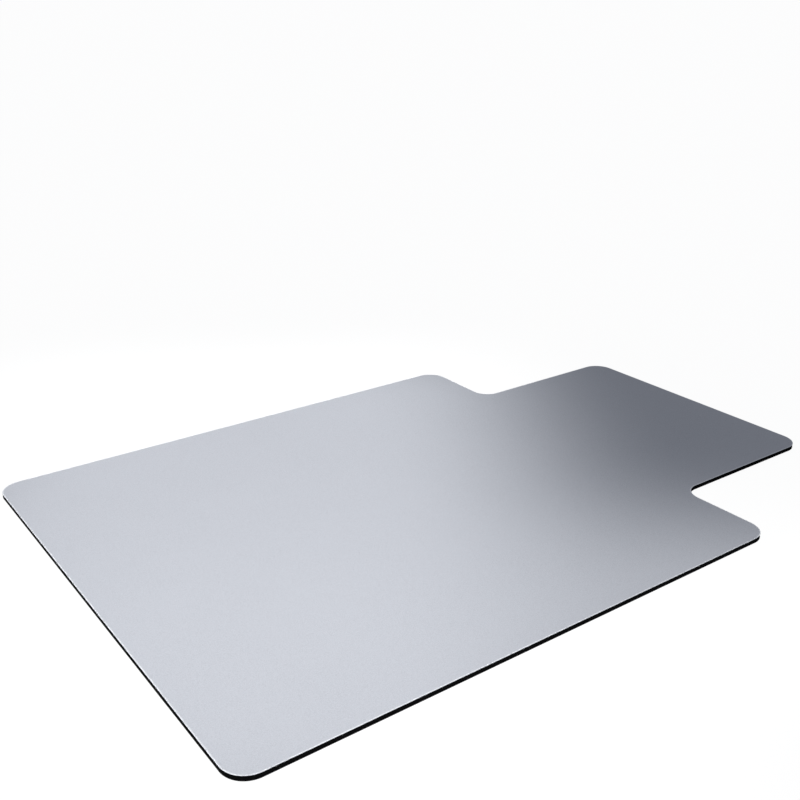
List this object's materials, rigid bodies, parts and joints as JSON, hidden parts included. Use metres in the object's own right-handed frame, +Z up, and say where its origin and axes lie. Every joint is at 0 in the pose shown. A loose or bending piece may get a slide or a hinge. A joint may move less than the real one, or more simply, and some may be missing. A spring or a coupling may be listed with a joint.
{
  "type": "chair mat",
  "caption": "T-shaped chair mat: a wide low-pile body that a desk chair rolls on, a narrower lip that goes under the desk, and a ribbed rubber underside.",
  "frame": {"origin": "at floor level, in the middle of the box around the mat's outline", "axes": "+Z up from the floor through the layers, +Y towards the desk with the lip at the +Y end, +X across the mat to the right of a person who faces the desk"},
  "size_m": [1.2, 1.76, 0.011],
  "materials": {
    "grey_pile": "matte",
    "bond_film": "satin",
    "black_foam": "matte",
    "black_rubber": "matte"
  },
  "bodies": {
    "root": {"face_fabric": "grey_pile", "face_bond_film": "bond_film", "foam_core": "black_foam", "backing_bond_film": "bond_film", "grip_backing": "black_rubber"}
  },
  "joints": []
}
